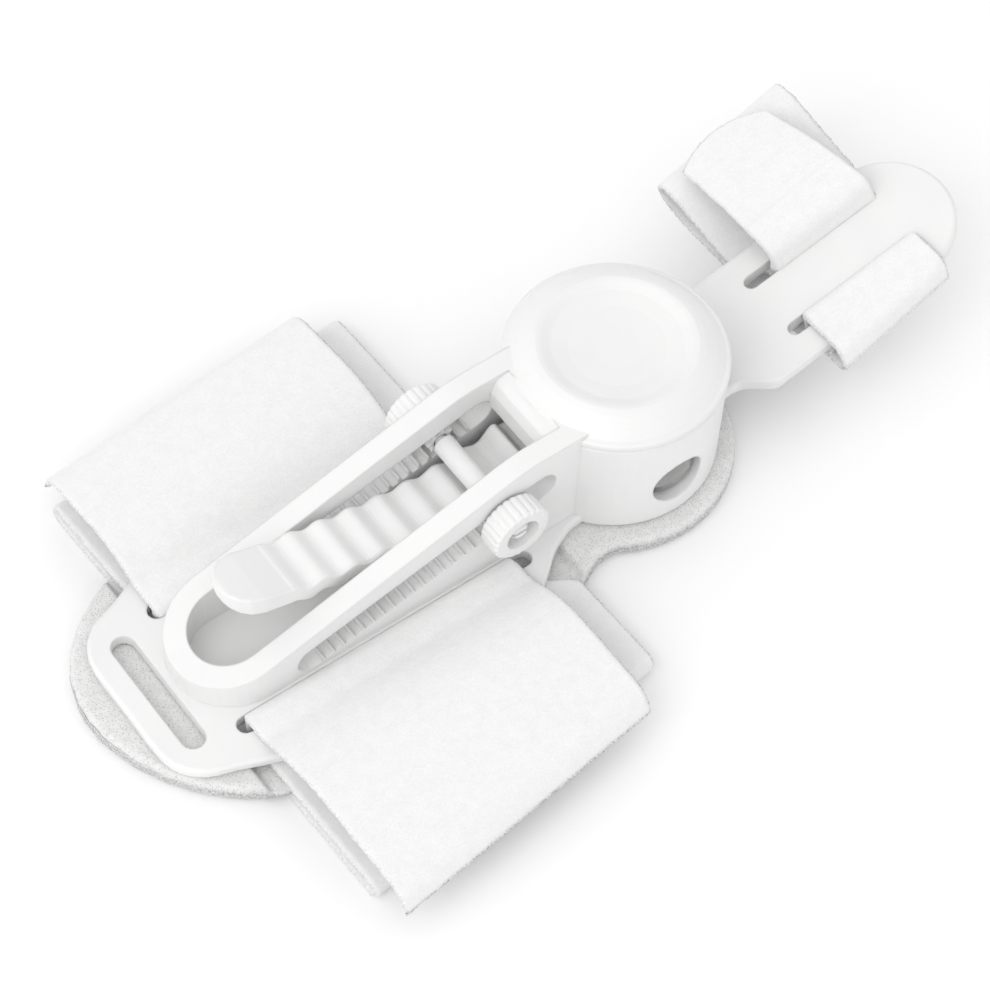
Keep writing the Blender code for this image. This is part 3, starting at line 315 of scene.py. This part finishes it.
def clothBand(name, path, thickness, place, swell, columns, material, frayShade, turn=None, seed=0.0):
    s = clothSurface
    fine, broad, raggedness = s["fineScale"], s["broadScale"], s["ragged"]
    mesh = bmesh.new()
    frayShadeLayer = mesh.verts.layers.float.new("frayAndShade")
    rows = []
    last = len(path) - 1
    lengths = runLengths(path)
    for i, point in enumerate(path):
        before, after = path[max(i - 1, 0)], path[min(i + 1, last)]
        ahead = (after - before).normalized()
        normal = Vector((-ahead.y, ahead.x))
        endShare = min(1.0, min(lengths[i], lengths[-1] - lengths[i]) / (0.5 * thickness))
        endRound = bulge(endShare, s["endThinness"])
        ring = []
        for side in (1, -1):
            order = range(columns) if side == 1 else range(columns - 1, -1, -1)
            for j in order:
                across = 0.5 * j / (columns - 1) + 0.25 - 0.25 * cos(pi * j / (columns - 1))
                x, shift = place(i, point, across)
                width = abs(place(i, point, 1.0)[0] - place(i, point, 0.0)[0])
                fromEdge = min(across, 1 - across) * width
                edgeShare = min(1.0, fromEdge / (0.5 * thickness))
                thick = thickness * 0.5 * bulge(edgeShare, s["edgeThinness"]) * endRound
                # Edge darkness here is partly real fray and partly painted shade; fold darkness is painted
                # shade.
                edgeFrayShade, foldShade = frayShade(i, point, across, side)
                y, z = point
                fuzz = grainAt(x * fine, y * fine + seed, z * fine + 7 * side) * s["fineHeight"]
                fuzz += grainAt(x * broad, y * broad + seed, z * broad + 5 * side) * s["broadHeight"]
                fuzz *= 1 + s["foldFuzzHeight"] * foldShade
                ragged = 0.0
                if edgeShare < 1:
                    ragged = grainAt(seed + 11, y * 300, lengths[i] * 600) * 0.6 * raggedness
                    ragged += grainAt(seed + 31, y * 1700, lengths[i] * 1900) * raggedness
                    ragged *= (1 - edgeShare) * (1 if across > 0.5 else -1)
                endRagged = 0.0
                if endShare < 1:
                    endRagged = grainAt(x * 700, seed + 3, 0) + 0.5 * grainAt(x * 1900, seed + 9, 0)
                    endRagged *= raggedness * (1 - endShare) * (-1 if i < last / 2 else 1)
                offset = side * (thick + swell(i, side) * edgeShare + fuzz * min(1.0, edgeShare + 0.3))
                vertex = mesh.verts.new((
                    x + ragged,
                    point.x + shift + normal.x * offset + ahead.x * endRagged,
                    point.y + normal.y * offset + ahead.y * endRagged,
                ))
                # Colour darkness: real fray at the cut ends, fray plus painted shade along the edges, painted
                # shade at the folds.
                frayAndEdgeShade = s["endWear"] * (1 - endShare) + s["edgeFrayShade"] * (1 - edgeShare) * edgeFrayShade
                vertex[frayShadeLayer] = min(1.0, frayAndEdgeShade + foldShade)
                ring.append(vertex)
        rows.append(ring)
    count = len(rows[0])
    for row, after in zip(rows, rows[1:]):
        for k in range(count):
            n = (k + 1) % count
            mesh.faces.new((row[k], row[n], after[n], after[k]))
    for row, flip in ((rows[0], True), (rows[-1], False)):
        for j in range(columns - 1):
            quad = (row[j], row[j + 1], row[count - 2 - j], row[count - 1 - j])
            mesh.faces.new(quad if flip else tuple(reversed(quad)))
    if turn is not None:
        bmesh.ops.transform(mesh, matrix=turn, verts=mesh.verts)
    bmesh.ops.recalc_face_normals(mesh, faces=mesh.faces)
    return addPiece(name, mesh, material)


def addPiece(name, mesh, material):
    data = bpy.data.meshes.new(name)
    mesh.to_mesh(data)
    mesh.free()
    data.materials.append(material)
    data.shade_smooth()
    item = bpy.data.objects.new(name, data)
    bpy.context.scene.collection.objects.link(item)
    return item


# Foot strap: one ribbon through both side slots, folded at each side and pressed under the pad.
footStrap = {
    "thickness": 1.1 * mm,
    "bandWidth": 63.0 * mm,
    "bandStart": 85.4 * mm,
    "topWidth": 54.5 * mm,
    "topStart": 85.0 * mm,
    "skew": radians(1.8),
    "leftFold": 47.0 * mm,
    "leftSlant": radians(5.0),
    "leftOverhang": 1.2 * mm,
    "rightFold": 46.2 * mm,
    "rightSlant": radians(7.5),
    "rightOverhang": 6.4 * mm,
    "crest": 8.2 * mm,
    "crestReach": 27.0 * mm,
    "edgeDrop": 5.6 * mm,
    "slotInner": 11.7 * mm,
    "slotOuter": 15.0 * mm,
    "wheelEdge": 16.0 * mm,
    "plateThickness": 2.4 * mm,
}


def footSide(reach, overhang):
    s = footStrap
    half = s["thickness"] / 2
    returnLevel = plateLevel - gap - half
    onRail = plateLevel + s["plateThickness"] + gap + half
    middle = (s["slotInner"] + s["slotOuter"]) / 2
    fold = (returnLevel - half) / 2
    crest = plateLevel + s["crest"] - half
    end = reach + overhang
    return [
        (end, crest - s["edgeDrop"], 0.0), (end - 1.6 * mm, crest - 1.6 * mm, 4.5 * mm),
        (s["crestReach"], crest, 26.0 * mm), (s["wheelEdge"] + 2.2 * mm, onRail, 5.0 * mm),
        (middle, onRail, 1.0 * mm), (middle, returnLevel, 1.0 * mm),
        (reach - fold, returnLevel, 0.97 * fold), (reach - fold + 0.01 * mm, half, 0.97 * fold),
    ]


leftCorners = footSide(footStrap["leftFold"], footStrap["leftOverhang"])
rightCorners = footSide(footStrap["rightFold"], footStrap["rightOverhang"])
footPath = evenPath(roundedPath(leftCorners + [(-y, z, r) for y, z, r in reversed(rightCorners)]), 0.4 * mm)
footLengths = runLengths(footPath)
footSlots = slotCrossings(footPath, plateLevel + 1.2 * mm, footStrap["slotInner"], footStrap["slotOuter"])


def footPlace(i, point, across):
    s = footStrap
    first, second = footLengths[footSlots[0] + 5], footLengths[footSlots[1] - 5]
    inside = min(footLengths[i] - first, second - footLengths[i])
    share = smoothStep(inside / (8.0 * mm))
    band = -s["bandStart"] + s["bandWidth"] * across
    narrow = -s["topStart"] + s["topWidth"] * across
    x = narrow + (band - narrow) * share - point.x * tan(s["skew"])
    slant = s["leftSlant"] if point.x > 0 else s["rightSlant"]
    beyond = max(0.0, min(1.0, (abs(point.x) - s["slotOuter"] - 4.0 * mm) / (1.5 * s["slotOuter"])))
    centre = -s["bandStart"] + s["bandWidth"] / 2
    return x, (x - centre) * tan(slant) * beyond


def footSwell(i, side):
    nearest = min(abs(footLengths[i] - footLengths[k] - 1.2 * mm * way) for k, way in zip(footSlots, (-1, 1)))
    if side > 0 or nearest > 4.0 * mm:
        return 0.0
    steep = (footPath[i + 1] - footPath[i - 1]).normalized().y
    return 1.0 * mm * smoothStep(1 - nearest / (4.0 * mm)) * steep * steep


# Painted shade: the far edge gets more edge darkness than the near one, and the hanging ends at the side
# folds are darkened as fold shade.
def footFrayShade(i, point, across, side):
    fromEnd = min(footLengths[i], footLengths[-1] - footLengths[i])
    return 1.0 if across > 0.5 else 0.45, 0.85 * smoothStep(1.3 - fromEnd / (1.1 * mm))


footBand = clothBand(
    "foot_strap_cloth", footPath, footStrap["thickness"], footPlace, footSwell, 60, strapCloth, footFrayShade)
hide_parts("foot_strap")
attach(footBand, "base")
print("foot strap done", len(footBand.data.vertices), round(footLengths[-1], 4), flush=True)


# Toe strap: one ribbon round the toe plate, in the toe arm's own tilted frame.
toeStrap = {
    "thickness": 1.1 * mm,
    "bandWidth": 29.8 * mm,
    "bandStart": 36.1 * mm,
    "topWidth": 23.4 * mm,
    "topStart": 40.1 * mm,
    "topTaper": 4.2 * mm,
    "rightWidth": 25.6 * mm,
    "rightStart": 37.3 * mm,
    "skew": radians(1.8),
    "rightReach": 15.5 * mm,
    "loopReach": 36.4 * mm,
    "loopRise": 6.6 * mm,
    "loopDepth": 13.6 * mm,
    "foldSlant": radians(5.0),
    "topReach": 30.0 * mm,
    "topHeight": 5.4 * mm,
    "topBow": 3.0 * mm,
    "plateTop": -7.2 * mm,
    "plateThickness": 2.6 * mm,
    "plateHalf": 12.4 * mm,
    "slotInset": 4.8 * mm,
    "slotWidth": 2.7 * mm,
}


def toePath():
    s = toeStrap
    half = s["thickness"] / 2
    top = s["plateTop"] + gap + half
    below = s["plateTop"] - s["plateThickness"] - gap - half
    slot = s["slotInset"] + s["slotWidth"] / 2
    underEnd = below - s["thickness"] - 2 * gap
    deep = -s["loopDepth"]
    loop = s["loopReach"]
    rise = s["plateTop"] + s["topHeight"]
    return roundedPath([
        (-s["plateHalf"] + 0.6 * mm, below, 0.0), (-slot, below, 0.85 * mm), (-slot, top, 0.85 * mm),
        (-s["rightReach"] + 1.4 * mm, top, 2.2 * mm), (-s["rightReach"], underEnd, 1.6 * mm),
        (-0.5 * s["plateHalf"], underEnd - gap, 8.0 * mm), (0.35 * loop, deep, 22.0 * mm),
        (0.84 * loop, 0.90 * deep, 10.0 * mm), (loop, -s["loopRise"], 1.9 * mm),
        (0.80 * loop, -0.90 * s["loopRise"], 5.0 * mm),
        (0.44 * loop, below, 9.0 * mm), (slot, below, 0.85 * mm), (slot, rise - 1.0 * mm, 2.4 * mm),
        (0.62 * s["topReach"], rise, 20.0 * mm), (s["topReach"], s["plateTop"] + 0.72 * s["topHeight"], 0.0),
    ])


toeRun = evenPath(toePath(), 0.3 * mm)
toeLengths = runLengths(toeRun)
toeSlots = slotCrossings(
    toeRun, toeStrap["plateTop"] - toeStrap["plateThickness"] / 2,
    toeStrap["slotInset"], toeStrap["slotInset"] + toeStrap["slotWidth"])


def toePlace(i, point, across):
    s = toeStrap
    first, second = toeLengths[toeSlots[0] + 5], toeLengths[toeSlots[1] - 5]
    inside = min(toeLengths[i] - first - 18.0 * mm, second - toeLengths[i])
    share = smoothStep(inside / (9.0 * mm))
    band = s["bandStart"] + s["bandWidth"] * across
    topRun = toeLengths[-1] - toeLengths[toeSlots[1] + 1]
    climb = max(0.0, (toeLengths[i] - toeLengths[toeSlots[1] + 1]) / topRun)
    narrow = s["topStart"] + (s["topWidth"] - s["topTaper"] * climb) * across
    if point.x < 0:
        narrow = s["rightStart"] + s["rightWidth"] * across
    x = narrow + (band - narrow) * share - point.x * tan(s["skew"])
    beyond = max(0.0, min(1.0, (abs(point.x) - s["slotInset"] - s["slotWidth"]) / s["slotInset"]))
    centre = s["bandStart"] + s["bandWidth"] / 2
    bow = s["topBow"] * climb * climb * (1 - (2 * across - 1) ** 2)
    return x, (x - centre) * tan(s["foldSlant"]) * beyond * (1 - climb) + bow


toeTurn = Matrix.Translation(hinge) @ Matrix.Rotation(-toeTilt, 4, "Y")


def toeSwell(i, side):
    fromRight = abs(toeLengths[i] - toeLengths[toeSlots[0]] - 1.2 * mm)
    fromLeft = toeLengths[i] - toeLengths[toeSlots[1]]
    if side < 0:
        return 0.75 * mm * smoothStep(1 - fromRight / (3.0 * mm))
    doubled = 0.3 * mm * smoothStep(fromLeft / (2.0 * mm)) * smoothStep((12.0 * mm - fromLeft) / (0.7 * mm))
    return doubled + 0.65 * mm * smoothStep(1 - abs(fromLeft - 1.2 * mm) / (3.0 * mm))


# Painted shade: the top layer's edges stay light, the far edge below is darker than the near one, and the low
# part of the right-hand fold is darkened.
def toeFrayShade(i, point, across, side):
    onTop = toeLengths[i] > toeLengths[toeSlots[1]]
    low = smoothStep((toeStrap["plateTop"] - 1.2 * mm - point.y) / (1.2 * mm))
    fold = smoothStep((-point.x - toeStrap["rightReach"] + 0.7 * mm) / (0.6 * mm)) * low
    return 0.15 if onTop else 1.0 if across > 0.5 else 0.6, 0.8 * fold


toeBand = clothBand(
    "toe_strap_cloth", toeRun, toeStrap["thickness"], toePlace, toeSwell, 44, strapCloth, toeFrayShade,
    turn=toeTurn, seed=40.0)
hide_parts("toe_strap")
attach(toeBand, "toe")
print("toe strap done", len(toeBand.data.vertices), round(toeLengths[-1], 4), flush=True)


# Foam pad: rounded rough edge, thin where the foot strap passes over and under it.
pad = {
    "reach": 104.4 * mm,
    "halfWidth": 27.5 * mm,
    "lobeRadius": 22.6 * mm,
    "tipShift": 3.6 * mm,
    "top": 4.0 * mm,
    "edgeRadius": 1.3 * mm,
    "pressedLow": 1.4 * mm,
    "pressedHigh": 2.6 * mm,
    "bandLow": -88.0 * mm,
    "bandHigh": -20.0 * mm,
    "bandInner": 11.9 * mm,
    "bandSlope": 1.2 * mm,
    "ragged": 0.12 * mm,
    "darkRim": 0.25 * mm,
    "edge": (
        (1.000, 0.000), (0.998, 0.130), (0.982, 0.345), (0.952, 0.545), (0.915, 0.705), (0.872, 0.830),
        (0.825, 0.930), (0.765, 0.990), (0.600, 1.000), (0.330, 0.990), (0.270, 0.930), (0.205, 0.780),
        (0.160, 0.695), (0.125, 0.685),
    ),
}


def padHalfWidths(stations):
    along = [-pad["reach"] * share for share, half in pad["edge"]]
    across = [pad["halfWidth"] * half for share, half in pad["edge"]]
    angles = np.linspace(acos(along[-1] / pad["lobeRadius"]), 0.0, 60)[1:]
    along += list(pad["lobeRadius"] * np.cos(angles))
    across += list(pad["lobeRadius"] * np.sin(angles))
    return np.interp(stations, along, across)


def buildPad():
    count, columns = 420, 56
    turns = np.linspace(0.0, pi, count)
    middle = (pad["lobeRadius"] - pad["reach"]) / 2
    span = (pad["lobeRadius"] + pad["reach"]) / 2
    stations = middle - span * np.cos(turns)
    halves = padHalfWidths(stations)
    kernel = np.array([1, 2, 3, 2, 1]) / 9.0
    halves[2:-2] = np.convolve(halves, kernel, "same")[2:-2]
    tip = np.clip((-stations - 0.77 * pad["reach"]) / (0.23 * pad["reach"]), 0, None)
    shifts = pad["tipShift"] * tip * tip
    ragged = np.array([grainAt(x * 500, 2.0, 0) + grainAt(x * 1500, 5.0, 0) for x in stations])
    raggedRight = np.array([grainAt(x * 500, 22.0, 0) + grainAt(x * 1500, 25.0, 0) for x in stations])
    leftEdge = halves + shifts + pad["ragged"] * ragged * (halves > mm)
    rightEdge = -halves + shifts + pad["ragged"] * raggedRight * (halves > mm)
    outline = np.concatenate([np.stack([stations, leftEdge], 1), np.stack([stations, rightEdge], 1)])
    shares = 0.5 - 0.5 * np.cos(np.linspace(0, pi, columns))
    shares = 0.35 * np.linspace(0, 1, columns) + 0.65 * shares
    mesh = bmesh.new()
    frayShadeLayer = mesh.verts.layers.float.new("frayAndShade")
    grids = {}
    for side in (1, -1):
        grid = []
        for i in range(1, count - 1):
            row = []
            for share in shares:
                x = stations[i]
                y = rightEdge[i] + (leftEdge[i] - rightEdge[i]) * share
                distance = np.min(np.hypot(outline[:, 0] - x, outline[:, 1] - y))
                inBand = smoothStep((x - pad["bandLow"]) / pad["bandSlope"])
                inBand *= smoothStep((pad["bandHigh"] - x) / pad["bandSlope"])
                beside = smoothStep((abs(y) - pad["bandInner"]) / (0.9 * mm))
                high = pad["top"] - (pad["top"] - pad["pressedHigh"]) * inBand * beside
                low = pad["pressedLow"] * inBand
                fall = max(0.0, 1 - distance / pad["edgeRadius"])
                centre = 0.5 * (high + low)
                half = 0.5 * (high - low) * bulge(1 - fall, 0.30)
                z = centre + side * half
                if side > 0 and fall > 0:
                    z += grainAt(x * 1100, y * 1100, side * 3.0) * 0.1 * mm
                vertex = mesh.verts.new((x, y, z if side > 0 else max(0.0, z)))
                # The colour is darker within a quarter millimetre of the rim.
                vertex[frayShadeLayer] = 0.75 * smoothStep((pad["darkRim"] - distance) / pad["darkRim"])
                row.append(vertex)
            grid.append(row)
        grids[side] = grid
    high, low = grids[1], grids[-1]
    for i in range(len(high) - 1):
        for j in range(columns - 1):
            mesh.faces.new((high[i][j], high[i][j + 1], high[i + 1][j + 1], high[i + 1][j]))
            mesh.faces.new((low[i][j], low[i + 1][j], low[i + 1][j + 1], low[i][j + 1]))
        for j in (0, columns - 1):
            mesh.faces.new((high[i][j], high[i + 1][j], low[i + 1][j], low[i][j]))
    for row, under in ((high[0], low[0]), (high[-1], low[-1])):
        for j in range(columns - 1):
            mesh.faces.new((row[j], row[j + 1], under[j + 1], under[j]))
    bmesh.ops.recalc_face_normals(mesh, faces=mesh.faces)
    return addPiece("foam_pad_knit", mesh, padFoam)


padPiece = buildPad()
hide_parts("foam_pad")
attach(padPiece, "base")
print("foam pad done", len(padPiece.data.vertices), flush=True)


# Floor and light: a room brighter on the left than on the right, and one soft key lamp.
floorMesh = bmesh.new()
bmesh.ops.create_grid(floorMesh, x_segments=1, y_segments=1, size=3.0)
floorMaterial, floorTree, floorShader = shaderNodes("paleFloor")
floorTone = ramp(floorTree, noiseNode(floorTree, 4.0), ((0.3, grey(0.90)), (0.7, grey(0.92))))
floorTree.links.new(floorTone, floorShader.inputs["Base Color"])
floorShader.inputs["Roughness"].default_value = 0.9
floor = addPiece("floor", floorMesh, floorMaterial)
floor.location.z = -0.0002

world = bpy.data.worlds.new("studio")
bpy.context.scene.world = world
world.use_nodes = True
room = world.node_tree
roomPlace = addNode(room, "ShaderNodeTexCoord")
roomSide = addNode(room, "ShaderNodeVectorMath", operation="DOT_PRODUCT")
roomSide.inputs[1].default_value = (-0.74, -0.10, 0.66)
room.links.new(roomPlace.outputs["Generated"], roomSide.inputs[0])
roomTone = ramp(room, roomSide.outputs["Value"], ((0.0, (0.74, 0.74, 0.745)), (0.85, (1.0, 1.0, 1.0))))
room.links.new(roomTone, room.nodes["Background"].inputs["Color"])
room.nodes["Background"].inputs["Strength"].default_value = 1.19

studio = {
    "key": ((-0.66, -0.22, 0.66), 0.6, 1.7),
}
for lightName, (place, size, power) in studio.items():
    lamp = bpy.data.lights.new(lightName, "AREA")
    lamp.size = size
    lamp.energy = power
    lampObject = bpy.data.objects.new(lightName, lamp)
    lampObject.location = place
    away = Vector(place) - Vector((-0.02, 0.0, 0.01))
    lampObject.rotation_euler = away.to_track_quat("Z", "Y").to_euler()
    bpy.context.scene.collection.objects.link(lampObject)

bpy.context.scene.view_settings.view_transform = "Standard"
